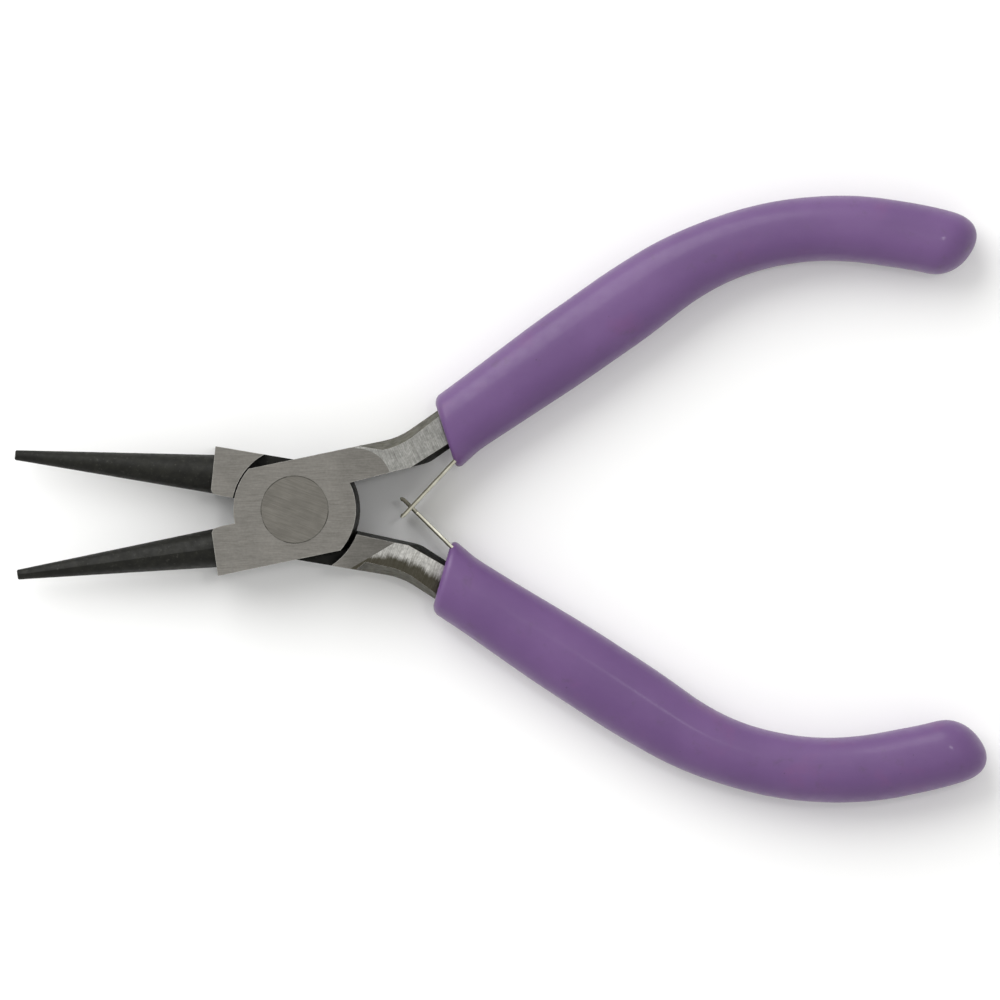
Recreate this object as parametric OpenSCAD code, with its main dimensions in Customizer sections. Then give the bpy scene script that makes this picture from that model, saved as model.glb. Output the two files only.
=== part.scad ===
// Round nose pliers with a riveted lap joint, vinyl grips and a double leaf return spring.
// Frame: origin on the pivot axis, in the plane the pliers lie on. +Z is up, along the pivot,
// +X points to the handles and -X to the jaws. The front half carries the jaw on the -Y side.
// Each half is drawn closed, in its own "half frame": its jaw below the X axis, its handle above.

/* [Joint] */
// Thickness of the joint, from face to face
joint_t = 8.5; // [7.5:0.1:10.5]
// Width of each half where it crosses the joint
joint_w = 12.3; // [10.5:0.1:15]
// How far the round edge of the lap stands past the half width of the joint
lap_rise = 1.5; // [1:0.1:2.5]
// Angle between the two halves when the springs are relaxed
open_angle = 21.4; // [14:0.1:26]
// Diameter of the pivot rivet's flush heads
rivet_head_d = 8.4; // [6.5:0.1:10]
// Diameter of the pivot rivet's shank
rivet_d = 5; // [4:0.1:6]
// Gap between the two lap faces
lap_gap = 0.06; // [0.04:0.01:0.1]
// Running clearance on the rivet's radius in the rear half
running_gap = 0.03; // [0.02:0.01:0.06]
// Gap between a lap's round edge and the shoulder that it turns in
shoulder_gap = 0.2; // [0.15:0.05:0.4]
// How far the lap's edge spreads from its outer face to the mid plane, on the handle side
lap_spread = 0.5; // [0.2:0.1:0.8]

/* [Jaws] */
// Length of the round jaw in front of its block
jaw_len = 25; // [15:0.1:32]
// Diameter of the jaw at its tip
tip_d = 1.25; // [1:0.05:2.5]
// Diameter of the jaw where it leaves its block
base_d = 4.85; // [3:0.05:5.5]
// Distance from the pivot axis to the front of the jaw block
block_front = 10.7; // [10.2:0.1:14]
// How far the block's front face leans forward by its outer edge
block_lean = 0.35; // [0:0.05:0.6]
// Half the slit that is left between the jaws when the halves are in line
jaw_slit = 0.25; // [0.15:0.05:0.4]
// Half the slit that is left between the jaw blocks
block_slit = 0.15; // [0.1:0.05:0.3]

/* [Handles] */
// Distance from the pivot axis to where the outer edge starts to turn away
root_x = 12.7; // [12:0.1:16]
// Radius of that turn
root_r = 9; // [7:0.5:14]
// Angle between the handle's straight stretch and the X axis, when closed
handle_angle = 23.2; // [18:0.1:27]
// Width of the steel tang
tang_w = 4.75; // [4.2:0.05:5.7]
// Thickness of the steel tang
tang_t = 6; // [5:0.1:7]
// Offset of the tang from the middle of the grip, outwards
tang_shift = 0.38; // [0:0.02:0.6]
// Height of the front handle's inner edge over the X axis, carried on to the pivot
front_inner_y = 1.55; // [1.2:0.05:2]
// The same for the rear handle, which is ground less
rear_inner_y = 0.98; // [0.8:0.02:2]
// Slope of that edge up to the tang, in degrees
inner_slope = 2.5; // [1:0.5:6]
// Draft of the handle's outer wall, in degrees
outer_draft = 16; // [8:0.5:18]
// Draft of the tang's inner wall outside the grip, in degrees
inner_draft = 13; // [6:0.5:15]
// Draft of the root's inner wall on its unground side, in degrees
root_draft = 6; // [2:0.5:8]

/* [Grips] */
// Length of the straight stretch of the handle
straight_len = 35.4; // [26:0.1:44]
// Radius of the handle's bend, at the middle of the grip
bend_r = 39; // [32:0.5:50]
// Length of the handle from the start of its straight stretch to the grip's end
handle_len = 76.4; // [62:0.1:92]
// Distance along the handle to the middle of the front grip's mouth
front_mouth_s = 3.2; // [3:0.1:5]
// The same for the rear grip, which is pushed on a little further
rear_mouth_s = 2.3; // [2.2:0.1:5]
// Slant of the mouth across the handle, in degrees
mouth_slant = 17; // [0:1:22]
// Width of the grip at its mouth
grip_mouth_w = 8.6; // [8.2:0.1:10.5]
// Width of the grip at the palm
grip_palm_w = 9.6; // [8.6:0.1:11.6]
// Width of the grip in its bend
grip_neck_w = 8.1; // [7.5:0.1:9.8]
// Width of the grip near its end
grip_end_w = 8.4; // [7.5:0.1:10.2]
// Length over which the end closes
nose_len = 4.4; // [3:0.1:6]
// Length of grip past the end of the tang
end_wall = 6.5; // [5:0.5:12]

/* [Leaf springs] */
// Thickness of each leaf
leaf_t = 0.5; // [0.3:0.05:0.6]
// Width of each leaf
leaf_w = 5; // [4.4:0.1:5.4]
// Angle between a relaxed blade and the tang
leaf_bend = 11.9; // [9:0.1:15]
// Distance along the handle to the bend of the leaf
leaf_s = 8.8; // [7.5:0.1:10]
// Length of blade past the crossing, up to its curled tip
past_len = 1.25; // [1.1:0.05:1.6]
// Length of the pad that is riveted to the tang
pad_len = 7.5; // [6:0.1:9]
// Height of the window in the front leaf
window_h = 2.6; // [2.2:0.1:3]
// Height of the tongue on the rear leaf
tongue_h = 2; // [1.6:0.1:2.4]
// Diameter of the spring rivet's shank
spring_rivet_d = 1.6; // [1.2:0.1:2]
// Diameter of the spring rivet's head
spring_head_d = 3; // [2.4:0.1:3.6]

/* [Hidden] */

$fn = 96;
eps = 0.01;             // overlap that joins solids of one piece
cut = 5;                // how far a cutter runs past what it cuts
big = 60;               // side of a cutting block
mid_z = joint_t / 2;
half_w = joint_w / 2;
seat_gap = 0.01;                                 // gap where a rivet or a leaf sits tight
land = 0.15;                                     // half the plain band between two drafted walls
lap_r = half_w + lap_rise;                       // round edge of the lap on the jaw side
lap_mid_r = lap_r + lap_spread;                  // the same on the handle side, at the mid plane
seat_jaw_r = lap_r + shoulder_gap;               // shoulder of the jaw block
seat_root_r = lap_mid_r + shoulder_gap;          // shoulder of the handle's root
head_h = (rivet_head_d - rivet_d) / 2;           // depth of a 90 degree countersink

jaw_fall = (base_d - tip_d) / 2 / jaw_len;        // what the jaw's radius loses over its length
jaw_taper = asin(jaw_fall);
jaw_root = 1;                                    // how far the jaw's cone runs on into its block
jaw_y = -(jaw_slit + base_d / 2 / cos(jaw_taper)); // middle of the jaw at the block
tip_chamfer = 0.12;
ease_len = 1.4;                                  // length over which the block's inner edge eases off
ease_depth = 0.12;                               // how far it eases off
ease_corner = 0.3;                               // size of the flat at its front corner

// Handle: unit vectors along and across its straight stretch, and where that stretch starts.
along = [cos(handle_angle), sin(handle_angle)];
across = [-sin(handle_angle), cos(handle_angle)];
turn_centre = [root_x, half_w + root_r];
outer_start = turn_centre + root_r * [sin(handle_angle), -cos(handle_angle)];
path_start = outer_start - (tang_w / 2 + tang_shift) * across;
bend_centre = path_start + straight_len * along - bend_r * across;
tang_in = tang_shift - tang_w / 2;               // the tang's inner face, across from the path
tang_out = tang_shift + tang_w / 2;              // and its outer edge
tang_in_0 = path_start + tang_in * across;
tang_z = (joint_t - tang_t) / 2;
tang_end = handle_len - end_wall;
tang_inset = 0.3;                                // how far inside the mouth's outer corner it starts
tang_s = front_mouth_s + tang_out * tan(mouth_slant) + tang_inset; // where the plain tang starts
root_overlap = 0.7;                              // length over which the root runs on beside it
tang_chamfer = 0.5;
bend_step = 0.02;                                // how far the bent stretch is set in
bend_overlap = 0.5;                              // degrees that it runs back into the straight one

// Inner edge of the handle's root: where a line at inner_slope from [0, y] meets the tang.
inner_dir = [cos(inner_slope), sin(inner_slope)];
inner_up = [-sin(inner_slope), cos(inner_slope)];
function inner_meet(y) = tang_in_0
    + (([0, y] - tang_in_0) * inner_up) / sin(handle_angle - inner_slope) * along;
inner_r = 4;                                     // radius of the turn at that corner
inner_steps = 4;                                 // straight steps that the turn is made of

// Ground facets that thin the root down to the tang.
facet_round = [8.2, 1.6];                        // middle of the round edge of the front facet
facet_r = 4.4;
facet_run = 20;                                  // how far the front facet reaches from its edge
facet_from = -60;                                // heading at which its sweep starts
facet_sweep = 140;
facet_front_len = 6.74;                          // length over which it falls to the tang's face
facet_front_slope = atan(tang_z / facet_front_len);
facet_straight = [12.8, 2.15];                   // point on the straight edge of the back facet
facet_turn = 50;
facet_back_len = 5.01;
facet_back_slope = atan(tang_z / facet_back_len);
wall_step = 0.01;                                // how far the turn's draft is cut in at its ends
wall_overlap = 0.2;                              // length over which it meets the straight walls
wall_past = 1;                                   // how far a wall's draft runs on past the tang's start
inner_lead = 5;                                  // how far the tang's inner draft starts before its path
root_wall_past = 2;                              // how far the root's inner draft runs past its corner
root_wall_out = 0.5;                             // how far that draft's cutter reaches outwards
lead_front = 3.4;                                // how far before the turn the outer draft starts
lead_front_run = 3;
lead_back = 3.9;
lead_back_run = 1;

// Leaf spring: its bend, which lies on the tang's inner face, and its direction from there.
leaf_at = path_start + leaf_s * along + (tang_in - leaf_t / 2) * across;
blade_angle = 180 + handle_angle + leaf_bend;
leaf_rise = leaf_at * [sin(open_angle / 2), cos(open_angle / 2)]; // from the bend to the X axis, at rest
cross_len = leaf_rise / sin(handle_angle + leaf_bend + open_angle / 2); // along the blade, to that axis
leaf_z = (joint_t - leaf_w) / 2;
window_half = 0.95;                              // half the length of the window
shoulder_back = 0.95;                            // how far the full width stops short of the crossing
curl_r = 0.5;                                    // radius of the curl at the tip
curl_angle = 60;
rivet_s = leaf_s + pad_len / 2;
spring_head_h = 0.6;
spring_head_slope = 0.4;                         // what the head's radius loses to its top
shank_short = 0.35;                              // how far the shank stops inside the tang
shank_len = tang_w - shank_short;
pocket_past = 8;                                 // how far the leaf's room runs on past the path's start
flex_angle = 15;                                 // swing of the blade that the grip leaves room for

// ---- shared placing ----

// Point and heading of the handle's path at a distance s from its start.
function bent(s) = s > straight_len ? (s - straight_len) / bend_r * 180 / PI : 0;
function path_heading(s) = handle_angle - bent(s);
function path_point(s) = s <= straight_len
    ? path_start + s * along
    : bend_centre + bend_r * [-sin(path_heading(s)), cos(path_heading(s))];

// Places children at a point of the path: x along it, y across it and outwards.
module on_path(s) {
    translate(concat(path_point(s), 0)) rotate(path_heading(s)) children();
}

// Places children on the blade: x along it from the bend, z up from the mid plane.
module on_blade(distance) {
    translate(concat(leaf_at, mid_z)) rotate(blade_angle) translate([distance, 0, 0]) children();
}

// Places a half, or a piece of it, at its rest angle. The rear half is the front one turned over.
module as_front() {
    rotate(open_angle / 2) children();
}
module as_rear() {
    rotate(-open_angle / 2) translate([0, 0, joint_t]) rotate([180, 0, 0]) children();
}

// Turns a cutter for the face at joint_t over to the face at 0.
module on_back() {
    translate([0, 0, joint_t]) mirror([0, 0, 1]) children();
}

// ---- rivets ----

// Rivet with a 90 degree head at both ends, standing from 0 to joint_t, grown by a gap.
module pivot_form(gap) {
    reach = rivet_d / 2 + gap;
    translate([0, 0, -gap]) cylinder(r = reach, h = joint_t + 2 * gap);
    for (side = [0, 1])
        translate([0, 0, side * joint_t]) mirror([0, 0, side])
            cylinder(r1 = rivet_head_d / 2 + gap, r2 = reach, h = head_h);
}

module pivot_rivet() {
    color([0.55, 0.53, 0.51]) pivot_form(0);
}

// Shank of a spring rivet, through the tang from its inner face, grown by a gap.
module spring_shank(gap) {
    on_path(rivet_s) translate([0, tang_in - leaf_t - gap, mid_z]) rotate([-90, 0, 0])
        cylinder(r = spring_rivet_d / 2 + gap, h = shank_len + leaf_t + 2 * gap, $fn = 48);
}

module spring_rivet() {
    color([0.7, 0.7, 0.68]) {
        spring_shank(0);
        on_path(rivet_s) translate([0, tang_in - leaf_t, mid_z]) rotate([90, 0, 0])
            cylinder(r1 = spring_head_d / 2, r2 = spring_head_d / 2 - spring_head_slope,
                     h = spring_head_h, $fn = 48);
    }
}

// ---- steel half ----

// The block behind the jaw, in plan, with its inner front corner eased.
module block_plan() {
    polygon([[0, -half_w], [0, -block_slit], [-block_front + ease_len, -block_slit],
             [-block_front + ease_corner, -block_slit - ease_depth],
             [-block_front, -block_slit - 2 * ease_corner], [-block_front - block_lean, -half_w]]);
}

// The root of the handle, in plan, from the pivot to just inside the grip.
module root_plan(inner_y) {
    meet = inner_meet(inner_y);
    turn = handle_angle - inner_slope;
    centre = meet - inner_r * tan(turn / 2) * inner_dir + inner_r * inner_up;
    corner = [for (i = [0 : inner_steps]) let (a = -90 + inner_slope + turn * i / inner_steps)
              centre + inner_r * [cos(a), sin(a)]];
    end = tang_in_0 + (tang_s + root_overlap) * along;
    difference() {
        polygon(concat([[0, half_w], [0, inner_y]], corner,
                       [end, end + tang_w * across, outer_start, [root_x, half_w]]));
        translate(turn_centre) circle(r = root_r, $fn = 180);
    }
}

// Half-thickness lap round the pivot: straight across the joint, round at its two free edges.
module lap() {
    h = mid_z - lap_gap / 2;
    side = 2 * (lap_r + cut);
    translate([0, 0, mid_z + lap_gap / 2]) intersection() {
        translate([-side / 2, -half_w, 0]) cube([side, joint_w, h]);
        union() {
            intersection() {
                cylinder(r = lap_r, h = h);
                translate([-side, -side / 2, 0]) cube([side + eps, side, h]);
            }
            intersection() {
                cylinder(r1 = lap_mid_r, r2 = lap_r, h = h);
                translate([0, -side / 2, 0]) cube([side, side, h]);
            }
        }
    }
}

// Room for the other half's lap, below the mid plane.
module lap_seat() {
    h = cut + mid_z + lap_gap / 2;
    side = 2 * (lap_r + cut);
    translate([0, 0, -cut]) {
        intersection() {
            cylinder(r = seat_jaw_r, h = h);
            translate([-side, -side / 2, 0]) cube([side, side, h]);
        }
        intersection() {
            cylinder(r = seat_root_r, h = h);
            translate([-eps, -side / 2, 0]) cube([side, side, h]);
        }
    }
}

// Round tapered jaw, its inner side parallel to the X axis.
module jaw() {
    translate([-block_front, jaw_y, mid_z]) rotate(-jaw_taper) rotate([0, -90, 0]) {
        translate([0, 0, -jaw_root]) cylinder(r1 = base_d / 2 + jaw_fall * jaw_root, r2 = tip_d / 2,
                                              h = jaw_len + jaw_root - tip_chamfer);
        translate([0, 0, jaw_len - tip_chamfer])
            cylinder(r1 = tip_d / 2, r2 = tip_d / 2 - tip_chamfer, h = tip_chamfer);
    }
}

// Section of the tang, its sides moved in by a step. The outer wall is drafted, the inner one flat.
module tang_section(step) {
    inner = tang_in + step;
    outer = tang_out - step;
    bottom = tang_z + step;
    top = tang_z + tang_t - step;
    lean = (tang_t / 2 - land) * tan(outer_draft);
    polygon([[inner + tang_chamfer, bottom], [outer - lean, bottom], [outer, mid_z - land],
             [outer, mid_z + land], [outer - lean, top], [inner + tang_chamfer, top],
             [inner, top - tang_chamfer], [inner, bottom + tang_chamfer]]);
}

// Steel tang inside the grip: straight, then bent.
module tang(from_s) {
    on_path(from_s) rotate([90, 0, 90]) linear_extrude(straight_len - from_s) tang_section(0);
    translate(concat(bend_centre, 0)) rotate(path_heading(tang_end) + 90)
        rotate_extrude(angle = bent(tang_end) + bend_overlap, $fn = 180)
            translate([bend_r, 0]) tang_section(bend_step);
}

// Cutters for drafted walls, above the mid plane. The wall's foot is the x axis, steel is at -y.
module draft(length, angle, out = cut) {
    foot = mid_z + land;
    lean = (joint_t + cut - foot) * tan(angle);
    rotate([90, 0, 90]) linear_extrude(length)
        polygon([[0, foot], [-lean, joint_t + cut], [out, joint_t + cut], [out, foot]]);
}

// The same where the draft starts: flush at x = 0, full draft at x = run.
module draft_lead(run, angle) {
    lean = (mid_z - land) * tan(angle);
    tilt = atan(norm([1, lean / run]) / tan(angle));
    intersection() {
        translate([0, -2 * lean, mid_z + land]) cube([run, 2 * lean + cut, mid_z + cut]);
        translate([0, 0, joint_t]) rotate(-atan(lean / run)) rotate([-tilt, 0, 0])
            translate([-big / 2, -big / 2, 0]) cube(big);
    }
}

module outer_wall(lead, run) {
    translate([root_x - lead, half_w, 0]) draft_lead(run, outer_draft);
    translate([root_x - lead + run, half_w, 0]) draft(lead - run + wall_overlap, outer_draft);
    intersection() {
        translate(concat(turn_centre, mid_z + land))
            cylinder(r1 = root_r + wall_step, r2 = root_r + wall_step + (mid_z + cut) * tan(outer_draft),
                     h = mid_z + cut, $fn = 180);
        translate([root_x, 0, 0]) cube(big);
    }
    translate(concat(outer_start - wall_overlap * along, 0)) rotate(handle_angle)
        draft(tang_s + wall_past + wall_overlap, outer_draft);
}

module inner_wall() {
    translate(concat(tang_in_0 - inner_lead * along, 0)) rotate(handle_angle) mirror([0, 1, 0])
        draft(inner_lead + tang_s + wall_past, inner_draft);
}

module root_wall(inner_y) {
    start = seat_root_r - wall_past;
    translate(concat([0, inner_y] + start * inner_dir, 0)) rotate(inner_slope) mirror([0, 1, 0])
        draft(norm(inner_meet(inner_y)) - start + root_wall_past, root_draft, root_wall_out);
}

// Front facet: a shallow cone that falls away from a round edge.
module round_facet() {
    far = facet_r + facet_run;
    translate(concat(facet_round, joint_t)) rotate(facet_from) rotate_extrude(angle = facet_sweep)
        polygon([[facet_r, 0], [far, -facet_run * tan(facet_front_slope)], [far, cut], [facet_r, cut]]);
}

// Back facet: a plane that falls away from a slanting edge.
module straight_facet() {
    translate(concat(facet_straight, joint_t)) rotate(facet_turn) rotate([0, facet_back_slope, 0])
        translate([0, -big / 2, 0]) cube(big);
}

// Block and root at full thickness, with the room for the other half's lap.
module blank(inner_y) {
    difference() {
        linear_extrude(joint_t) {
            block_plan();
            root_plan(inner_y);
        }
        lap_seat();
    }
}

// The same with its walls drafted.
module forging(inner_y) {
    difference() {
        blank(inner_y);
        outer_wall(lead_front, lead_front_run);
        on_back() outer_wall(lead_back, lead_back_run);
        inner_wall();
        on_back() inner_wall();
        on_back() root_wall(inner_y);
    }
}

module half(pivot_gap, inner_y) {
    color([0.62, 0.61, 0.59]) difference() {
        union() {
            difference() {
                forging(inner_y);
                round_facet();
                on_back() straight_facet();
            }
            lap();
            jaw();
            tang(tang_s);
        }
        pivot_form(pivot_gap);
        spring_shank(seat_gap);
    }
}

// ---- leaf springs ----

// Pad on the tang, and a full-width blade that leaves it at the bend.
module leaf_strip(length) {
    translate(concat(leaf_at, leaf_z)) {
        rotate(handle_angle) translate([0, -leaf_t / 2, 0]) cube([pad_len, leaf_t, leaf_w]);
        rotate(blade_angle) translate([0, -leaf_t / 2, 0]) cube([length, leaf_t, leaf_w]);
        cylinder(r = leaf_t / 2, h = leaf_w, $fn = 48);
    }
}

// Curled tip that starts at a distance along the blade.
module leaf_curl(distance, height) {
    overlap = 2;
    on_blade(distance) translate([0, -curl_r, -height / 2]) rotate(90 - curl_angle)
        rotate_extrude(angle = curl_angle + overlap, $fn = 96)
            translate([curl_r - leaf_t / 2, 0]) square([leaf_t, height]);
}

module pad_hole() {
    on_path(rivet_s) translate([0, tang_in - 2 * leaf_t, mid_z]) rotate([-90, 0, 0])
        cylinder(r = spring_rivet_d / 2 + seat_gap, h = 3 * leaf_t, $fn = 48);
}

module front_leaf() {
    reach = cross_len + past_len;
    color([0.72, 0.72, 0.66]) difference() {
        union() {
            leaf_strip(reach);
            leaf_curl(reach, leaf_w);
        }
        on_blade(cross_len) translate([-window_half, -leaf_t, -window_h / 2])
            cube([2 * window_half, 2 * leaf_t, window_h]);
        pad_hole();
    }
}

module rear_leaf() {
    reach = cross_len + past_len;
    shoulder = cross_len - shoulder_back;
    color([0.72, 0.72, 0.66]) difference() {
        union() {
            leaf_strip(shoulder);
            on_blade(shoulder - eps) translate([0, -leaf_t / 2, -tongue_h / 2])
                cube([reach - shoulder + eps, leaf_t, tongue_h]);
            leaf_curl(reach, tongue_h);
        }
        pad_hole();
    }
}

// ---- grips ----

grip_sides = 28;
grip_power = 2.5;                                // squareness of the grip's section
mouth_lip = 1.3;                                 // length over which the mouth's edge rounds off
lip_flare = 0.45;                                // swell of the mouth on its inner side
flare_len = 4;
palm_s = straight_len - 8.9;                     // where the grip is widest
palm_half = 2.5;                                 // half the length that keeps this width
neck_s = (straight_len + handle_len) / 2 - 4.9;  // where it is narrowest
neck_half = 4;
end_plain = 6.6;                                 // length at its end that keeps one width
slant_len = 12;                                  // length over which the mouth's slant dies out
lip_drop = 0.16;                                 // share of the section that the mouth's lip loses
nose_power = 2.6;                                // fullness of the nose along the path
nose_round = 2.2;                                // and of its tip
nose_turn = 11;                                  // length over which the nose leans and shifts
nose_lean = 0.13;                                // slant of the end
nose_shift = 0.65;                               // how far the end sits towards the outer side
lip_steps = 4;
body_steps = 22;
nose_steps = 9;

function smooth(t) = t <= 0 ? 0 : t >= 1 ? 1 : t * t * (3 - 2 * t);
function grip_width(s) = grip_mouth_w
    + (grip_palm_w - grip_mouth_w) * smooth((s - front_mouth_s) / (palm_s - palm_half - front_mouth_s))
    + (grip_neck_w - grip_palm_w)
        * smooth((s - palm_s - palm_half) / (neck_s - neck_half - palm_s - palm_half))
    + (grip_end_w - grip_neck_w)
        * smooth((s - neck_s - neck_half) / (handle_len - end_plain - neck_half - neck_s));

// Share of the section that is left where the nose closes and where the mouth rounds off.
function nose_share(s) = let (t = (s - handle_len + nose_len) / nose_len)
    t <= 0 ? 1 : pow(1 - pow(min(t, 1), nose_power), 1 / nose_round);
function lip_share(s, mouth) = let (t = 1 - (s - mouth) / mouth_lip)
    t <= 0 ? 1 : 1 - lip_drop * (1 - sqrt(1 - t * t));
function towards_nose(s) = smooth((s - handle_len + nose_turn) / nose_turn);

// Stations along the path: close together where the mouth and the nose round off.
nose_s = handle_len - nose_len;
function stations(mouth) = concat(
    [for (i = [0 : lip_steps - 1]) mouth + mouth_lip * (1 - cos(90 * i / lip_steps))],
    [for (i = [0 : body_steps - 1]) mouth + mouth_lip + (nose_s - mouth - mouth_lip) * i / body_steps],
    [for (i = [0 : nose_steps - 1]) nose_s + nose_len * sin(90 * i / nose_steps)]);

// One ring of the grip: a rounded box section, slanted at the mouth and at the nose.
function ring(s, mouth) = let (
        p = path_point(s), h = path_heading(s), k = nose_share(s) * lip_share(s, mouth),
        half_width = grip_width(s) / 2 * k, half_height = joint_t / 2 * k,
        slant = tan(mouth_slant) * (1 - smooth((s - mouth) / slant_len))
            + nose_lean * towards_nose(s),
        flare = lip_flare * (1 - smooth((s - mouth) / flare_len)),
        shift = nose_shift * towards_nose(s))
    [for (j = [0 : grip_sides - 1]) let (
        a = 360 * j / grip_sides,
        u = half_width * sign(cos(a)) * pow(abs(cos(a)), 2 / grip_power),
        v = half_height * sign(sin(a)) * pow(abs(sin(a)), 2 / grip_power),
        d = (u < 0 ? u * (1 + flare / half_width) : u) + shift,
        t = slant * d)
        [p[0] + t * cos(h) - d * sin(h), p[1] + t * sin(h) + d * cos(h), mid_z + v]];

module grip_form(mouth) {
    n = grip_sides;
    rows = stations(mouth);
    last = len(rows) - 1;
    tip = path_point(handle_len) + nose_shift * (nose_lean * [1, 0] + [0, 1]);
    points = concat([for (s = rows) each ring(s, mouth)],
                    [concat(path_point(mouth), mid_z), concat(tip, mid_z)]);
    sides = [for (i = [0 : last - 1]) for (j = [0 : n - 1]) let (k = (j + 1) % n)
        each [[i * n + j, (i + 1) * n + k, i * n + k], [i * n + j, (i + 1) * n + j, (i + 1) * n + k]]];
    caps = [for (j = [0 : n - 1]) let (k = (j + 1) % n)
        each [[(last + 1) * n, j, k], [(last + 1) * n + 1, last * n + k, last * n + j]]];
    polyhedron(points, concat(sides, caps), convexity = 6);
}

// Room in the grip for the leaf: its pad, its rivet's head, and the swing of its blade.
module leaf_pocket() {
    depth = leaf_s + pocket_past;
    reach = leaf_t / 2 + seat_gap;
    far = blade_angle;
    near = blade_angle - flex_angle;
    translate([0, 0, leaf_z - seat_gap]) linear_extrude(leaf_w + 2 * seat_gap)
        polygon([leaf_at + reach * [-sin(far), cos(far)],
                 leaf_at + reach * [-sin(far), cos(far)] + depth * [cos(far), sin(far)],
                 leaf_at - reach * [-sin(near), cos(near)] + depth * [cos(near), sin(near)],
                 leaf_at - reach * [-sin(near), cos(near)]]);
    on_path(leaf_s) translate([-leaf_t, tang_in - leaf_t - seat_gap, leaf_z - seat_gap])
        cube([pad_len + leaf_t + seat_gap, leaf_t + 2 * seat_gap, leaf_w + 2 * seat_gap]);
    on_path(rivet_s) translate([0, tang_in + eps, mid_z]) rotate([90, 0, 0])
        cylinder(r = spring_head_d / 2 + seat_gap, h = leaf_t + spring_head_h + 2 * seat_gap, $fn = 48);
}

module grip(mouth) {
    color([0.5, 0.36, 0.6]) difference() {
        grip_form(mouth);
        tang(-cut);
        leaf_pocket();
    }
}

// ---- nodes ----

as_front() half(seat_gap, front_inner_y);  // front_half
as_rear() half(running_gap, rear_inner_y);  // rear_half
as_front() pivot_rivet();
as_front() grip(front_mouth_s);  // front_grip
as_rear() grip(rear_mouth_s);  // rear_grip
as_front() front_leaf();  // front_leaf_spring
as_rear() rear_leaf();  // rear_leaf_spring
as_front() spring_rivet();  // front_spring_rivet
as_rear() spring_rivet();  // rear_spring_rivet
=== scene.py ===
"""Round nose pliers: the looks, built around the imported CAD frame."""
import math

import bmesh
import bpy
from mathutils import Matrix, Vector, noise


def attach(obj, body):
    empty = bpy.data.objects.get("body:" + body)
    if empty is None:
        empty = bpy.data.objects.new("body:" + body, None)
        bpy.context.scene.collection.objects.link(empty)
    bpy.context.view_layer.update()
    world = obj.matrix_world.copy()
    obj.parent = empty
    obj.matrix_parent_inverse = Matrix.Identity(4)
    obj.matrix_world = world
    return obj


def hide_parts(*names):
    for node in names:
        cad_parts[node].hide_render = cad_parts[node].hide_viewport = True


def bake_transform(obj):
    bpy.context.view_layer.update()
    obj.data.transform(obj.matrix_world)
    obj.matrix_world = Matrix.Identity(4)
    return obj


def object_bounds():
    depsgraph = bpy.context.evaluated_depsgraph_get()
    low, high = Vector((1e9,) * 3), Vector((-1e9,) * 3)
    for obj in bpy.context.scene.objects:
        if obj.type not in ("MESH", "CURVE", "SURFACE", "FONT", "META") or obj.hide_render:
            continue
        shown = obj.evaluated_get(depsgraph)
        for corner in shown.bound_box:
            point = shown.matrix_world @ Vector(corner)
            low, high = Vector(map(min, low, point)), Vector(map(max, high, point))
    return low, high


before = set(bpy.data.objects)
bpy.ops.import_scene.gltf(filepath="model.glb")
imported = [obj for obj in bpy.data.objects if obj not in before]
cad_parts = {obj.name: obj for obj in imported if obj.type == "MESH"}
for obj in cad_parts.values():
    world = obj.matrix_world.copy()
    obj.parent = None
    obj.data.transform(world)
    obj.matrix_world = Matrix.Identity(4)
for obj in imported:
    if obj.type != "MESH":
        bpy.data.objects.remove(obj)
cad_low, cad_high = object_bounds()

# ---- sizes, in millimetres and degrees unless a name says otherwise ----

MM = 0.001
PER_METRE = 1000
THICK = round((cad_high.z - cad_low.z) / MM, 3)   # from the pliers' back to their front
MID = THICK / 2
OPEN = 10.7                                       # angle of each half to the X axis at rest

# Handle's path in a half's own frame, in which its jaw lies along the X axis.
HANDLE_ANGLE = 23.2
PATH_START = Vector((17.331, 4.346))
STRAIGHT_LEN = 35.4
BEND_R = 39.0
HANDLE_LEN = 76.4

# Grips.
MOUTH_AT = {"front": 3.2, "rear": 2.3}            # distance along the path to the mouth
MOUTH_SLANT = 17.0
SLANT_LEN = 12.0
WIDTHS = ((3.2, 8.6), (24.0, 9.6), (29.0, 9.6),   # distance along the path and the grip's width there
          (47.0, 8.1), (55.0, 8.1), (65.8, 8.4))
SECTION_POWER = 2.5                               # 2 is an ellipse, and more is boxier
NOSE_LEN = 4.4                                    # the closed end: its round stretch
NOSE_POWER = 2.6                                  # its outline's roundness along and across
NOSE_ROOT = 2.2
NOSE_TURN = 11.0                                  # stretch over which it leans and moves outwards
NOSE_LEAN = 0.13
NOSE_SHIFT = 0.65
LIP_FLARE = 0.45                                  # how far the mouth's inner side stands out
FLARE_LEN = 4.0
LIP_R = 0.95                                      # rounding of the mouth's outer edge
LIP_INNER_R = 0.35                                # and of its inner edge
BORE_INNER = -3.25                                # sides of the mouth's opening, across the handle
BORE_OUTER = 2.3
BORE_HALF_HEIGHT = 2.62
BORE_POWER = 0.45                                 # exponent that squares the opening's corners
BORE_DEPTH = 7.0
WAVE_SHARE = 0.012                                # the skin's slight waviness, as a share of its size
WAVE_ALONG = 0.16                                 # and how fast it changes along and round the grip
WAVE_ROUND = 1.4
REAR_WAVE = 9                                     # where the rear grip's waves start
RING_POINTS = 80
LIP_STEPS, BODY_STEPS, NOSE_STEPS = 7, 110, 22

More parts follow.
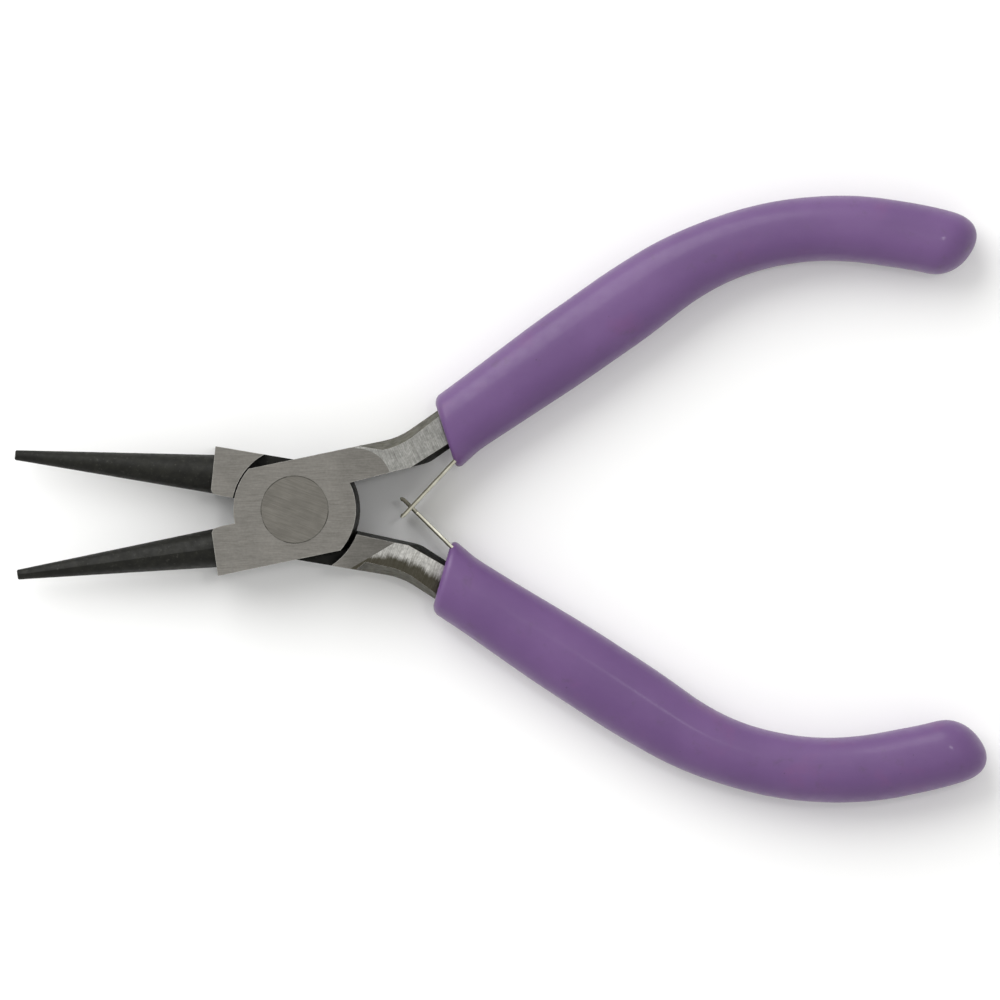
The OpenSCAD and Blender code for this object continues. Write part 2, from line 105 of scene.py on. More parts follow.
# Leaf springs.
LEAF_T = 0.5
LEAF_W = 5.0
LEAF_AT = Vector((26.304, 5.749))                 # the leaf's bend, in the half's frame
LEAF_HEADING = 180.0 + 35.1
PAD_STATIONS = (7.5, 4.0, 1.0)                    # distances from the bend back along the pad
STATION_STEP = 0.4                                # spacing of the blade's stations
CROSS_LEN = 14.69                                 # from the bend to where the leaves cross
PAST_LEN = 1.25                                   # and from there to the curl
WINDOW_HALF = 0.95                                # half length and height of the front leaf's window
WINDOW_H = 2.6
TONGUE_H = 2.0                                    # height of the rear leaf's tongue
CURL_R = 0.5
CURL_ANGLE = 60.0
CURL_STEPS = 8
LEAF_EDGE_R = 0.07

# Steel.
RIVET_R = 4.2
EDGE_R = 0.18                                     # rounding of the steel's edges, used in the shading to place their painted highlight
ROOT_R = 9.0                                      # the turn of the handle's outer edge, and its middle
TURN_CENTRE = Vector((12.7, 15.15))
TANG_IN = -1.995                                  # the tang's inner face, across from the path
TANG_W = 4.75
HANDLE_FROM = 5.0                                 # how far past the pivot a half's root begins


# ---- placing ----

def to_frame(side, point):
    """A point of a half's own frame, in millimetres, as a point of the object's frame, in metres."""
    x, y, z = point
    angle = math.radians(OPEN)
    if side == "rear":
        y, z, angle = -y, THICK - z, -angle
    turned = (x * math.cos(angle) - y * math.sin(angle), x * math.sin(angle) + y * math.cos(angle), z)
    return Vector(turned) * MM


def path(s):
    """Point and heading, in radians, of the handle's path at a distance s from its start."""
    heading = math.radians(HANDLE_ANGLE)
    along = Vector((math.cos(heading), math.sin(heading)))
    if s <= STRAIGHT_LEN:
        return PATH_START + s * along, heading
    centre = PATH_START + STRAIGHT_LEN * along - BEND_R * Vector((-along.y, along.x))
    heading -= (s - STRAIGHT_LEN) / BEND_R
    return centre + BEND_R * Vector((-math.sin(heading), math.cos(heading))), heading


def on_path(s, across, height):
    """A point at s along the path, across it and outwards, and at a height, in the half's frame."""
    point, heading = path(s)
    point = point + across * Vector((-math.sin(heading), math.cos(heading)))
    return Vector((point.x, point.y, height))


def smooth(t):
    t = min(max(t, 0.0), 1.0)
    return t * t * (3 - 2 * t)


def new_piece(name, mesh, material):
    mesh.update()
    piece = bpy.data.objects.new(name, mesh)
    bpy.context.scene.collection.objects.link(piece)
    piece.data.materials.append(material)
    return piece


def shade(mesh, angle):
    mesh.shade_smooth()
    mesh.set_sharp_from_angle(angle=math.radians(angle))


# ---- grips ----

def grip_width(s):
    """Width of the grip: level at its palm and its neck, and eased between the stations."""
    for (s0, w0), (s1, w1) in zip(WIDTHS, WIDTHS[1:]):
        if s <= s1:
            return w0 + (w1 - w0) * smooth((s - s0) / (s1 - s0))
    return WIDTHS[-1][1]


def signed_power(value, power):
    return math.copysign(abs(value) ** power, value)


def grip_ring(side, s, shrink=0.0, share=1.0):
    """One ring of the grip's skin: a rounded box section, moved in by shrink and scaled by share."""
    mouth = MOUTH_AT[side]
    nose = smooth((s - HANDLE_LEN + NOSE_TURN) / NOSE_TURN)
    slant = math.tan(math.radians(MOUTH_SLANT)) * (1 - smooth((s - mouth) / SLANT_LEN)) + NOSE_LEAN * nose
    flare = LIP_FLARE * (1 - smooth((s - mouth) / FLARE_LEN))
    half_w = grip_width(s) / 2 * share - shrink
    half_h = MID * share - shrink
    ring = []
    for j in range(RING_POINTS):
        a = 2 * math.pi * j / RING_POINTS
        u = half_w * signed_power(math.cos(a), 2 / SECTION_POWER)
        v = half_h * signed_power(math.sin(a), 2 / SECTION_POWER)
        if u < 0:
            u *= 1 + flare / half_w
        wave_start = REAR_WAVE if side == "rear" else 0
        place = (s * WAVE_ALONG, WAVE_ROUND * math.cos(a), WAVE_ROUND * math.sin(a) + wave_start)
        swell = 1 - WAVE_SHARE * (0.5 + 0.5 * noise.noise(Vector(place)))
        u, v = u * swell + NOSE_SHIFT * nose, v * swell
        ring.append(on_path(s + slant * u, u, MID + v))
    return ring


def bore_ring(side, depth, grow=0.0):
    """One ring of the mouth's opening: a box section with small round corners, at a depth in it."""
    s = MOUTH_AT[side] + depth
    slant = math.tan(math.radians(MOUTH_SLANT)) * (1 - smooth(depth / SLANT_LEN))
    centre = (BORE_OUTER + BORE_INNER) / 2
    half_w = (BORE_OUTER - BORE_INNER) / 2 + grow
    half_h = BORE_HALF_HEIGHT + grow
    ring = []
    for j in range(RING_POINTS):
        a = 2 * math.pi * j / RING_POINTS
        u = centre + half_w * signed_power(math.cos(a), BORE_POWER)
        v = half_h * signed_power(math.sin(a), BORE_POWER)
        ring.append(on_path(s + slant * u, u, MID + v))
    return ring


def grip_rings(side):
    """The grip's rings, from the bottom of its bore, over the lip and along the skin to its nose."""
    mouth = MOUTH_AT[side]
    rings = [bore_ring(side, depth) for depth in (BORE_DEPTH, BORE_DEPTH / 2, 2 * LIP_INNER_R)]
    for i in range(LIP_STEPS):
        a = math.pi / 2 * i / (LIP_STEPS - 1)
        rings.append(bore_ring(side, LIP_INNER_R * (1 - math.sin(a)), LIP_INNER_R * (1 - math.cos(a))))
    for i in range(LIP_STEPS + 1):
        a = math.pi / 2 * i / LIP_STEPS
        rings.append(grip_ring(side, mouth + LIP_R * (1 - math.cos(a)), LIP_R * (1 - math.sin(a))))
    start, end = mouth + LIP_R, HANDLE_LEN - NOSE_LEN
    rings += [grip_ring(side, start + (end - start) * i / BODY_STEPS) for i in range(1, BODY_STEPS)]
    for i in range(NOSE_STEPS):
        t = math.sin(math.pi / 2 * i / NOSE_STEPS)
        rings.append(grip_ring(side, end + NOSE_LEN * t, 0.0, (1 - t ** NOSE_POWER) ** (1 / NOSE_ROOT)))
    return rings


def grip_mesh(side):
    """The grip's skin: its rings joined into one closed mesh, with a fan at each end."""
    mesh = bpy.data.meshes.new(f"{side}_grip_skin")
    bm = bmesh.new()
    rows = [[bm.verts.new(to_frame(side, p)) for p in ring] for ring in grip_rings(side)]
    for low, high in zip(rows, rows[1:]):
        for j in range(RING_POINTS):
            k = (j + 1) % RING_POINTS
            bm.faces.new((low[j], low[k], high[k], high[j]))
    for row in (rows[0], rows[-1]):
        middle = bm.verts.new(sum((v.co for v in row), Vector()) / RING_POINTS)
        for j in range(RING_POINTS):
            bm.faces.new((middle, row[j], row[(j + 1) % RING_POINTS]))
    bmesh.ops.recalc_face_normals(bm, faces=bm.faces)
    bm.to_mesh(mesh)
    bm.free()
    shade(mesh, 60)
    return mesh


# ---- leaf springs ----

def leaf_line():
    """Stations along a leaf, from its pad's end to its curled tip: (distance, point, heading)."""
    heading = math.radians(LEAF_HEADING)
    pad_heading = math.radians(HANDLE_ANGLE) + math.pi
    pad = Vector((math.cos(pad_heading), math.sin(pad_heading)))
    blade = Vector((math.cos(heading), math.sin(heading)))
    reach = CROSS_LEN + PAST_LEN
    window_start = CROSS_LEN - WINDOW_HALF
    stations = [(-d, LEAF_AT - d * pad, pad_heading) for d in PAD_STATIONS]
    marks = [STATION_STEP * i for i in range(1, int(window_start / STATION_STEP) + 1)]
    marks += [window_start, CROSS_LEN, CROSS_LEN + WINDOW_HALF, reach]
    stations += [(d, LEAF_AT + d * blade, heading) for d in marks]
    tip = LEAF_AT + reach * blade
    right = Vector((blade.y, -blade.x))
    for i in range(1, CURL_STEPS + 1):
        a = math.radians(CURL_ANGLE) * i / CURL_STEPS
        point = tip + CURL_R * (math.sin(a) * blade + (1 - math.cos(a)) * right)
        stations.append((reach + CURL_R * a, point, heading - a))
    return stations


def leaf_mesh(side):
    """A strip with a window in the front leaf and a narrow tongue on the rear one."""
    stations = leaf_line()
    inner = (WINDOW_H if side == "front" else TONGUE_H) / 2
    heights = (-LEAF_W / 2, -inner, inner, LEAF_W / 2)
    strips = len(heights) - 1                     # the middle one holds the window and the tongue
    bm = bmesh.new()
    grid = {}
    for i, (_, point, heading) in enumerate(stations):
        normal = Vector((-math.sin(heading), math.cos(heading)))
        for j, height in enumerate(heights):
            for k in (0, 1):
                p = point + (k - 0.5) * LEAF_T * normal
                grid[i, j, k] = bm.verts.new(to_frame(side, (p.x, p.y, MID + height)))

    def filled(i, j):
        if not (0 <= i < len(stations) - 1 and 0 <= j < strips):
            return False
        middle = (stations[i][0] + stations[i + 1][0]) / 2
        if side == "front":
            return not (j == 1 and abs(middle - CROSS_LEN) < WINDOW_HALF)
        return j == 1 or middle < CROSS_LEN - WINDOW_HALF

    for i in range(len(stations) - 1):
        for j in range(strips):
            if not filled(i, j):
                continue
            for k in (0, 1):
                bm.faces.new((grid[i, j, k], grid[i + 1, j, k], grid[i + 1, j + 1, k], grid[i, j + 1, k]))
            sides = (((-1, 0), (i, j), (i, j + 1)), ((1, 0), (i + 1, j), (i + 1, j + 1)),
                     ((0, -1), (i, j), (i + 1, j)), ((0, 1), (i, j + 1), (i + 1, j + 1)))
            for (di, dj), a, b in sides:
                if not filled(i + di, j + dj):
                    bm.faces.new((grid[(*a, 0)], grid[(*b, 0)], grid[(*b, 1)], grid[(*a, 1)]))
    bmesh.ops.delete(bm, geom=[v for v in bm.verts if not v.link_faces], context="VERTS")
    bmesh.ops.recalc_face_normals(bm, faces=bm.faces)
    sharp = [e for e in bm.edges if len(e.link_faces) == 2 and e.calc_face_angle() > math.radians(60)]
    bmesh.ops.bevel(bm, geom=sharp, offset=LEAF_EDGE_R * MM, segments=2, profile=0.5, affect="EDGES")
    mesh = bpy.data.meshes.new(f"{side}_leaf_strip")
    bm.to_mesh(mesh)
    bm.free()
    shade(mesh, 35)
    return mesh


# ---- materials ----

def node(tree, kind, inputs=None, **settings):
    made = tree.nodes.new("ShaderNode" + kind)
    for name, value in settings.items():
        setattr(made, name, value)
    for key, value in (inputs or {}).items():
        if isinstance(value, bpy.types.NodeSocket):
            tree.links.new(value, made.inputs[key])
        else:
            made.inputs[key].default_value = value
    return made


def maths(tree, operation, a, b=0.0):
    return node(tree, "Math", {0: a, 1: b}, operation=operation).outputs[0]


def ramp(tree, value, low, high, to_low=0.0, to_high=1.0):
    inputs = {"Value": value, "From Min": low, "From Max": high, "To Min": to_low, "To Max": to_high}
    return node(tree, "MapRange", inputs, interpolation_type="SMOOTHSTEP").outputs[0]


def mix(tree, factor, a, b):
    return node(tree, "Mix", {0: factor, 6: a, 7: b}, data_type="RGBA").outputs[2]


def blended(tree, factor, a, b):
    return node(tree, "Mix", {0: factor, 2: a, 3: b}, data_type="FLOAT").outputs[0]


def tint(tree, color, factor):
    """A colour made darker or lighter by a factor."""
    grey = node(tree, "CombineColor", {0: factor, 1: factor, 2: factor}).outputs[0]
    return node(tree, "Mix", {0: 1.0, 6: color, 7: grey}, data_type="RGBA", blend_type="MULTIPLY").outputs[2]


def noise_of(tree, vector, scale, detail=3.0, roughness=0.5):
    inputs = {"Vector": vector, "Scale": scale, "Detail": detail, "Roughness": roughness}
    return node(tree, "TexNoise", inputs).outputs[0]


def stretched(tree, vector, angle, scale):
    """Coordinates turned by an angle about Z and then stretched, for lines that run one way."""
    turned = node(tree, "Mapping", {0: vector, 2: (0, 0, math.radians(-angle))}).outputs[0]
    return node(tree, "Mapping", {0: turned, 3: scale}).outputs[0]


def new_material(name, **values):
    made = bpy.data.materials.new(name)
    made.use_nodes = True
    shader = made.node_tree.nodes["Principled BSDF"]
    for key, value in values.items():
        shader.inputs[key.replace("_", " ")].default_value = value
    return made, made.node_tree, shader


def plug(tree, shader, **sockets):
    for key, socket in sockets.items():
        tree.links.new(socket, shader.inputs[key.replace("_", " ")])


def bump(tree, height, depth, strength):
    """A bump whose height is worth a depth in millimetres."""
    return node(tree, "Bump", {"Strength": strength, "Distance": depth * MM, "Height": height}).outputs[0]


def object_mm(tree):
    coordinates = node(tree, "TexCoord").outputs["Object"]
    return node(tree, "Mapping", {0: coordinates, 3: (PER_METRE, PER_METRE, PER_METRE)}).outputs[0]


def half_mm(tree, side):
    """Coordinates in a half's own frame, in millimetres."""
    coordinates = node(tree, "TexCoord").outputs["Object"]
    flip = -1 if side == "rear" else 1
    inputs = {0: coordinates, 1: (0, 0, THICK if side == "rear" else 0), 2: (0, 0, math.radians(-OPEN)),
              3: (PER_METRE, PER_METRE * flip, PER_METRE * flip)}
    return node(tree, "Mapping", inputs).outputs[0]


GRAIN_DEPTH = 0.02                                # depth of the steel's grain and of the vinyl's skin
SKIN_DEPTH = 0.06
FLAT_LEVEL = 0.995                                # how level a face is: a flat above this,
FACET_LEVEL = 0.93                                # and a facet between the two
FLAT_RISE = MID - 0.06                            # distance from the middle plane at which the flats start
FACET_RISE = 2.0                                  # and the facets
OLIVE_ACROSS = 3.1                                # the olive painted shade is outside this, across the handle

GROUND = (0.233, 0.223, 0.204, 1)                 # the ground flats, and the darker lines in them
GROUND_DARK = (0.161, 0.154, 0.139, 1)
ROOT_SHADE = {"front": 0.9, "rear": 0.66}         # how bright each half's root is beside its block
# Each side's facet colours hold painted light: the rear facet is painted much brighter than the front one.
FACET_PAINTED_LIGHT = {"front": (0.316, 0.315, 0.298, 1), "rear": (0.695, 0.686, 0.654, 1)}
FACET_LINES_PAINTED_LIGHT = {"front": (0.198, 0.196, 0.182, 1), "rear": (0.43, 0.421, 0.393, 1)}
FACET_SHADE_AT = 1.9                                    # rear facet: painted shade up to this far in from its outer edge
FACET_SHADE_RUN = 1.0                                   # and bright again this much further in
# colour of the rear facet's painted shade
REAR_FACET_SHADE = (0.045, 0.039, 0.022, 1)
EDGE_HIGHLIGHT = (0.5, 0.49, 0.46, 1)                       # painted highlight along the steel's edges
DIRT = (0.03, 0.028, 0.024, 1)
BLACK = (0.0075, 0.0075, 0.0055, 1)
# painted shade on the outer bevel
OLIVE_PAINTED_SHADE = (0.056, 0.053, 0.038, 1)
FLECK = (0.07, 0.07, 0.06, 1)
RIVET = (0.18, 0.172, 0.153, 1)
RIVET_DARK = (0.138, 0.13, 0.115, 1)
LEAF = (0.6, 0.59, 0.5, 1)
LEAF_DULL = (0.46, 0.45, 0.37, 1)
LEAF_STAIN = (0.28, 0.26, 0.19, 1)
# painted shade and shadow on the leaves
LEAF_PAINTED_SHADE = (0.04, 0.036, 0.025, 1)
VINYL = (0.104, 0.046, 0.155, 1)
VINYL_PALE = (0.123, 0.057, 0.178, 1)
VINYL_PINK = (0.145, 0.049, 0.159, 1)
VINYL_SPECK = (0.03, 0.015, 0.04, 1)
VINYL_SMEAR = (0.062, 0.04, 0.062, 1)
VINYL_SHEEN = (0.75, 0.78, 0.66, 1)
FLOOR_DULL = (0.9, 0.9, 0.895, 1)
FLOOR_PALE = (0.92, 0.92, 0.915, 1)


def split(tree, vector):
    return node(tree, "SeparateXYZ", {0: vector}).outputs


def times(tree, *factors):
    product = factors[0]
    for factor in factors[1:]:
        product = maths(tree, "MULTIPLY", product, factor)
    return product


def lines(tree, vector, angle, width, length):
    """Fine ground lines that run at an angle, from 0 to 1."""
    fine = noise_of(tree, stretched(tree, vector, angle, (1 / length, 1 / width, 1)), 1.0, 4.0, 0.6)
    broad = noise_of(tree, stretched(tree, vector, angle, (0.4 / length, 0.3 / width, 1)), 1.0, 2.0, 0.5)
    return maths(tree, "ADD", maths(tree, "MULTIPLY", fine, 0.75), maths(tree, "MULTIPLY", broad, 0.25))


def seam(tree, place):
    """A thin broken ring round the rivet, where dirt sits."""
    flat = node(tree, "VectorMath", {0: place, 1: (1, 1, 0)}, operation="MULTIPLY").outputs[0]
    radius = node(tree, "VectorMath", {0: flat}, operation="LENGTH").outputs["Value"]
    off = maths(tree, "ABSOLUTE", maths(tree, "SUBTRACT", radius, RIVET_R))
    broken = ramp(tree, noise_of(tree, place, 0.5, 3.0), 0.36, 0.6, 0.2, 0.8)
    return times(tree, ramp(tree, off, 0.02, 0.1, 1.0, 0.0), broken)


def edge_highlight_mask(tree):
    """Where the painted highlight goes: one along the rounded edges of a piece, and nothing on its faces."""
    rounded = node(tree, "Bevel", {"Radius": EDGE_R * MM}, samples=4).outputs[0]
    sharp = node(tree, "NewGeometry").outputs["Normal"]
    alike = node(tree, "VectorMath", {0: rounded, 1: sharp}, operation="DOT_PRODUCT").outputs["Value"]
    return ramp(tree, alike, 0.8, 0.985, 1.0, 0.0)


def handle_across(tree, half):
    """Distance outwards from the tang's inner face."""
    heading = math.radians(HANDLE_ANGLE)
    start = PATH_START.dot(Vector((-math.sin(heading), math.cos(heading)))) + TANG_IN
    across = split(tree, stretched(tree, half, HANDLE_ANGLE, (1, 1, 1)))[1]
    return maths(tree, "SUBTRACT", across, start)


def inside_edge(tree, half, across):
    """Distance inwards from the handle's outer edge: from its turn, then from its straight stretch."""
    spoke = node(tree, "VectorMath", {0: half, 1: (*TURN_CENTRE, 0)}, operation="SUBTRACT").outputs[0]
    level = node(tree, "VectorMath", {0: spoke, 1: (1, 1, 0)}, operation="MULTIPLY").outputs[0]
    radius = node(tree, "VectorMath", {0: level}, operation="LENGTH").outputs["Value"]
    along = split(tree, stretched(tree, spoke, HANDLE_ANGLE, (1, 1, 1)))[0]
    past_turn = maths(tree, "GREATER_THAN", along, 0.0)
    in_turn = maths(tree, "SUBTRACT", radius, ROOT_R)
    in_straight = maths(tree, "SUBTRACT", TANG_W, across)
    return blended(tree, past_turn, in_turn, in_straight)


def flat_look(tree, place, half, side):
    """Colour and lines of the ground flats: fine lines along the X axis, clouded, darker at the root."""
    fine = lines(tree, place, 0.0, 0.055, 1.3)
    color = mix(tree, ramp(tree, fine, 0.3, 0.7), GROUND_DARK, GROUND)
    cloud = ramp(tree, noise_of(tree, place, 0.22, 3.0), 0.3, 0.7, 0.94, 1.05)
    grit = ramp(tree, noise_of(tree, place, 3.5, 3.0), 0.3, 0.7, 0.95, 1.05)
    root = ramp(tree, split(tree, half)[0], HANDLE_FROM, HANDLE_FROM + 4.0, 1.0, ROOT_SHADE[side])
    return tint(tree, color, times(tree, cloud, grit, root)), fine


def facet_look(tree, half, side, across):
    """Colour and lines of the ground facets, scratched across. The rear one has painted shade by its outer
    edge.
    """
    fine = lines(tree, half, HANDLE_ANGLE + 80, 0.1, 1.5)
    color = mix(tree, ramp(tree, fine, 0.34, 0.64), FACET_LINES_PAINTED_LIGHT[side], FACET_PAINTED_LIGHT[side])
    grit = ramp(tree, noise_of(tree, half, 3.0, 4.0, 0.6), 0.3, 0.7, 0.8, 1.12)
    patch = ramp(tree, noise_of(tree, half, 0.55, 3.0), 0.3, 0.7, 0.84, 1.08)
    color = tint(tree, color, times(tree, grit, patch))
    if side == "rear":
        # painted shade along the rear facet's outer edge, for the dark of its hollow
        ragged = maths(tree, "MULTIPLY", maths(tree, "SUBTRACT", noise_of(tree, half, 0.6, 4.0), 0.5), 1.3)
        streaked = maths(tree, "MULTIPLY", maths(tree, "SUBTRACT", fine, 0.5), 1.2)
        inwards = maths(tree, "ADD", inside_edge(tree, half, across), maths(tree, "ADD", ragged, streaked))
        color = mix(tree, ramp(tree, inwards, FACET_SHADE_AT, FACET_SHADE_AT + FACET_SHADE_RUN, 0.93, 0.0), color, REAR_FACET_SHADE)
    return color, fine


def scale_look(tree, place, across, rise, along):
    """Colour of the unground steel: black forging on the jaws and in the joint, and olive painted shade
    outside the root.
    """
    speck = ramp(tree, noise_of(tree, place, 2.6, 6.0, 0.65), 0.56, 0.72, 0.0, 0.35)
    mottle = ramp(tree, noise_of(tree, place, 0.9, 4.0), 0.35, 0.7, 0.75, 1.5)
    black = mix(tree, speck, tint(tree, BLACK, mottle), FLECK)
    # olive painted shade along the outside of the handle past the root
    olive = tint(tree, OLIVE_PAINTED_SHADE, ramp(tree, noise_of(tree, place, 1.1, 5.0, 0.6), 0.3, 0.7, 0.65, 1.3))
    outside = times(tree, ramp(tree, along, HANDLE_FROM + 2.0, HANDLE_FROM + 5.5),
                    maths(tree, "GREATER_THAN", across, OLIVE_ACROSS), maths(tree, "GREATER_THAN", rise, 0.2))
    return mix(tree, outside, black, olive)


def steel_half(side):
    """A half's steel: ground flats and facets on black forging scale, told apart by slope and place."""
    made, tree, shader = new_material(f"{side}_steel", Specular_IOR_Level=0.2)
    place = object_mm(tree)
    half = half_mm(tree, side)
    along, _, height = split(tree, half)[:3]
    across = handle_across(tree, half)
    level = maths(tree, "ABSOLUTE", split(tree, node(tree, "NewGeometry").outputs["True Normal"])[2])
    rise = maths(tree, "ABSOLUTE", maths(tree, "SUBTRACT", height, MID))
    flat = times(tree, maths(tree, "GREATER_THAN", level, FLAT_LEVEL),
                 maths(tree, "GREATER_THAN", rise, FLAT_RISE))
    tilted = times(tree, maths(tree, "GREATER_THAN", level, FACET_LEVEL),
                   maths(tree, "LESS_THAN", level, FLAT_LEVEL))
    facet = times(tree, tilted, maths(tree, "GREATER_THAN", along, HANDLE_FROM),
                  maths(tree, "GREATER_THAN", rise, FACET_RISE))
    ground = maths(tree, "MAXIMUM", flat, facet)

    flat_color, flat_lines = flat_look(tree, place, half, side)
    facet_color, facet_lines = facet_look(tree, half, side, across)
    color = mix(tree, facet, flat_color, facet_color)
    # painted highlight along the steel's edges, broken up by noise
    edge = times(tree, edge_highlight_mask(tree), ramp(tree, noise_of(tree, place, 1.5, 3.0), 0.35, 0.6, 0.2, 0.75))
    color = mix(tree, edge, color, EDGE_HIGHLIGHT)
    color = mix(tree, ground, scale_look(tree, place, across, rise, along), color)
    color = mix(tree, times(tree, seam(tree, place), flat), color, DIRT)

    scale_rough = ramp(tree, noise_of(tree, place, 1.4, 4.0), 0.3, 0.7, 0.42, 0.6)
    line_rough = ramp(tree, flat_lines, 0.3, 0.7, 0.38, 0.5)
    rough = blended(tree, ground, scale_rough, line_rough)
    line_height = blended(tree, facet, flat_lines, facet_lines)
    height = blended(tree, ground, noise_of(tree, place, 3.2, 5.0, 0.6), line_height)
    relief = bump(tree, height, GRAIN_DEPTH, 0.35)
    plug(tree, shader, Base_Color=color, Roughness=rough, Metallic=ground, Normal=relief)
    return made


def rivet_steel():
    """The rivet's ground head, with its lines at a slant to the flats' and dirt round its edge."""
    made, tree, shader = new_material("rivet_steel", Metallic=1.0)
    place = object_mm(tree)
    grain = lines(tree, place, -22.0, 0.09, 2.2)
    color = mix(tree, ramp(tree, grain, 0.32, 0.68), RIVET_DARK, RIVET)
    color = tint(tree, color, ramp(tree, noise_of(tree, place, 0.5, 3.0), 0.3, 0.7, 0.93, 1.07))
    color = mix(tree, seam(tree, place), color, DIRT)
    rough = ramp(tree, grain, 0.3, 0.7, 0.38, 0.5)
    plug(tree, shader, Base_Color=color, Roughness=rough, Normal=bump(tree, grain, GRAIN_DEPTH, 0.35))
    return made


def spring_steel(side):
    """Leaf steel, with painted shade along the side that faces the joint and a painted shadow on the rear
    leaf's tongue.
    """
    made, tree, shader = new_material(f"{side}_spring_steel", Metallic=1.0)
    place = object_mm(tree)
    grain = noise_of(tree, node(tree, "Mapping", {0: place, 3: (0.5, 0.5, 6.0)}).outputs[0], 1.0, 4.0)
    patches = ramp(tree, noise_of(tree, place, 0.7, 3.0), 0.35, 0.7)
    color = mix(tree, patches, LEAF_DULL, LEAF)
    color = mix(tree, ramp(tree, grain, 0.35, 0.65, 0.0, 0.25), color, LEAF_STAIN)
    blade = Vector((math.cos(math.radians(LEAF_HEADING)), math.sin(math.radians(LEAF_HEADING))))
    along, across, _ = split(tree, stretched(tree, half_mm(tree, side), LEAF_HEADING, (1, 1, 1)))[:3]
    past_bend = maths(tree, "SUBTRACT", along, LEAF_AT.dot(blade))
    off_middle = maths(tree, "SUBTRACT", across, LEAF_AT.dot(Vector((-blade.y, blade.x))))
    # painted shade along the side that faces the joint
    painted_shade = times(tree, ramp(tree, off_middle, -LEAF_T * 0.2, -LEAF_T * 0.04, 0.92, 0.0),
                    maths(tree, "GREATER_THAN", past_bend, 0.0))
    if side == "rear":
        # painted shadow on the tongue, which lies below the front leaf
        tongue = ramp(tree, past_bend, CROSS_LEN, CROSS_LEN + 0.3, 0.0, 0.85)
        painted_shade = maths(tree, "MAXIMUM", painted_shade, tongue)
    color = mix(tree, painted_shade, color, LEAF_PAINTED_SHADE)
    rough = ramp(tree, grain, 0.3, 0.7, 0.3, 0.46)
    plug(tree, shader, Base_Color=color, Roughness=rough, Normal=bump(tree, grain, GRAIN_DEPTH, 0.4))
    return made


def vinyl():
    """The grips' vinyl: clouded purple with pinker patches, specks and smears, and a soft skin."""
    made, tree, shader = new_material("grip_vinyl", IOR=1.48, Coat_Weight=0.12, Coat_Roughness=0.12,
                                      Sheen_Weight=0.12, Sheen_Roughness=0.35, Sheen_Tint=VINYL_SHEEN)
    place = object_mm(tree)
    color = mix(tree, ramp(tree, noise_of(tree, place, 0.09, 4.0), 0.35, 0.7), VINYL, VINYL_PALE)
    pink = ramp(tree, noise_of(tree, place, 0.17, 5.0, 0.6), 0.56, 0.72, 0.0, 0.35)
    specks = ramp(tree, noise_of(tree, place, 1.3, 2.0, 0.4), 0.77, 0.82, 0.0, 0.6)
    smears = ramp(tree, noise_of(tree, place, 0.35, 4.0, 0.7), 0.57, 0.75, 0.0, 0.3)
    for amount, patch in ((pink, VINYL_PINK), (specks, VINYL_SPECK), (smears, VINYL_SMEAR)):
        color = mix(tree, amount, color, patch)
    rough = ramp(tree, noise_of(tree, place, 0.6, 5.0, 0.6), 0.3, 0.7, 0.44, 0.56)
    skin = noise_of(tree, place, 1.1, 3.0, 0.45)
    plug(tree, shader, Base_Color=color, Roughness=rough, Normal=bump(tree, skin, SKIN_DEPTH, 0.35))
    return made


def floor_material():
    made, tree, shader = new_material("pale_floor", Roughness=0.85, Specular_IOR_Level=0.2)
    place = object_mm(tree)
    shade_of = ramp(tree, noise_of(tree, place, 0.01, 2.0), 0.3, 0.7)
    plug(tree, shader, Base_Color=mix(tree, shade_of, FLOOR_DULL, FLOOR_PALE))
    return made


# ---- the object ----

def dress_cad(name, material):
    """A CAD piece keeps its mesh and its place, and gets a material."""
    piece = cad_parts[name]
    piece.data.materials.clear()
    piece.data.materials.append(material)


grip_material = vinyl()
for side in ("front", "rear"):
    dress_cad(f"{side}_half", steel_half(side))
    spring_material = spring_steel(side)
    dress_cad(f"{side}_spring_rivet", spring_material)
    grip = new_piece(f"{side}_grip_skin", grip_mesh(side), grip_material)
    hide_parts(f"{side}_grip")
    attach(grip, f"{side}_half")
    leaf = new_piece(f"{side}_leaf_strip", leaf_mesh(side), spring_material)
    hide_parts(f"{side}_leaf_spring")
    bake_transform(leaf)
dress_cad("pivot_rivet", rivet_steel())

# ---- floor, light and camera ----

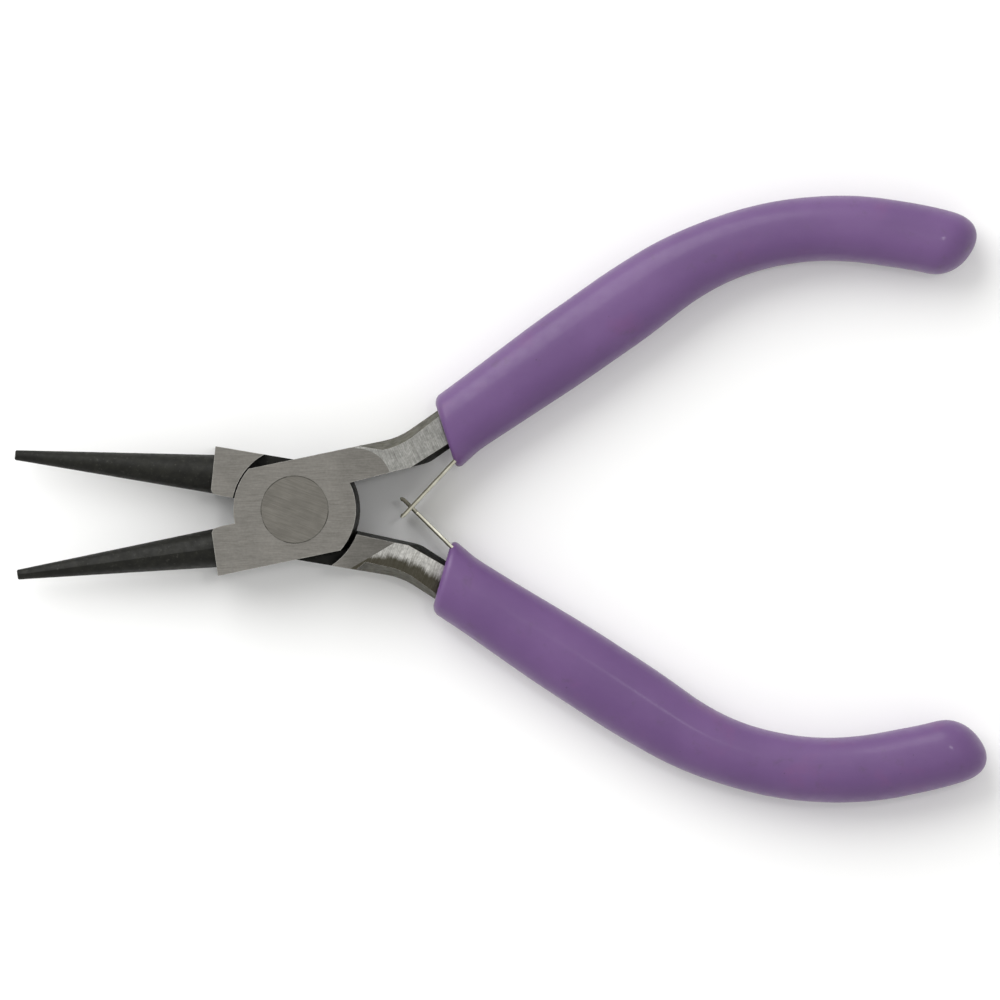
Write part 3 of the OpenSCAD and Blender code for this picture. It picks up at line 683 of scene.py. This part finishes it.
# Lengths are in metres from here on.
FLOOR_HALF = 3.0
FLOOR_Z = -0.00003                                # just clear of the pliers' back
SIDE_LIGHT = 0.85                                 # the studio's light at the sides and straight above
TOP_LIGHT = 0.66
STUDIO = (1.0, 1.0, 0.99, 1)
LAMPS_AIM = Vector((0.025, 0, 0))
LAMPS = {"key": (Vector((-0.55, 0.75, 0.75)), 1.3, 13.0),       # place, diameter and watts
         "glint": (Vector((0.2, 0.1, 0.9)), 0.08, 0.5)}
LOOK_AT = Vector((25.64, 0.70, 4.25)) * MM
CAMERA_RISE = 2.0
VIEW_WIDTH = 0.125                                # what the view takes in at LOOK_AT
VIEW_ROLL = -1.1                                  # degrees
SENSOR = 36.0                                     # millimetres

floor_mesh = bpy.data.meshes.new("floor")
corners = [(x * FLOOR_HALF, y * FLOOR_HALF, FLOOR_Z) for x, y in ((-1, -1), (1, -1), (1, 1), (-1, 1))]
floor_mesh.from_pydata(corners, [], [(0, 1, 2, 3)])
floor = bpy.data.objects.new("floor", floor_mesh)
bpy.context.scene.collection.objects.link(floor)
floor.data.materials.append(floor_material())

world = bpy.data.worlds.new("studio")
world.use_nodes = True
sky = world.node_tree
height = node(sky, "SeparateXYZ", {0: node(sky, "TexCoord").outputs["Generated"]}).outputs[2]
sky_light = ramp(sky, height, 0.55, 1.0, SIDE_LIGHT, TOP_LIGHT)
sky.nodes["Background"].inputs["Color"].default_value = STUDIO
sky.links.new(sky_light, sky.nodes["Background"].inputs["Strength"])
bpy.context.scene.world = world


def softbox(name, place, size, power):
    lamp = bpy.data.lights.new(name, "AREA")
    lamp.shape = "DISK"
    lamp.size = size
    lamp.energy = power
    made = bpy.data.objects.new(name, lamp)
    bpy.context.scene.collection.objects.link(made)
    made.location = place
    made.rotation_euler = (LAMPS_AIM - made.location).to_track_quat("-Z", "Y").to_euler()


for lamp_name, (lamp_place, lamp_size, lamp_power) in LAMPS.items():
    softbox(lamp_name, lamp_place, lamp_size, lamp_power)

camera_data = bpy.data.cameras.new("camera")
camera_data.sensor_width = SENSOR
camera_data.lens = SENSOR * CAMERA_RISE / VIEW_WIDTH
camera = bpy.data.objects.new("camera", camera_data)
bpy.context.scene.collection.objects.link(camera)
camera.location = LOOK_AT + Vector((0, 0, CAMERA_RISE))
camera.rotation_euler = (0, 0, math.radians(VIEW_ROLL))
bpy.context.scene.camera = camera
bpy.context.scene.view_settings.view_transform = "Standard"
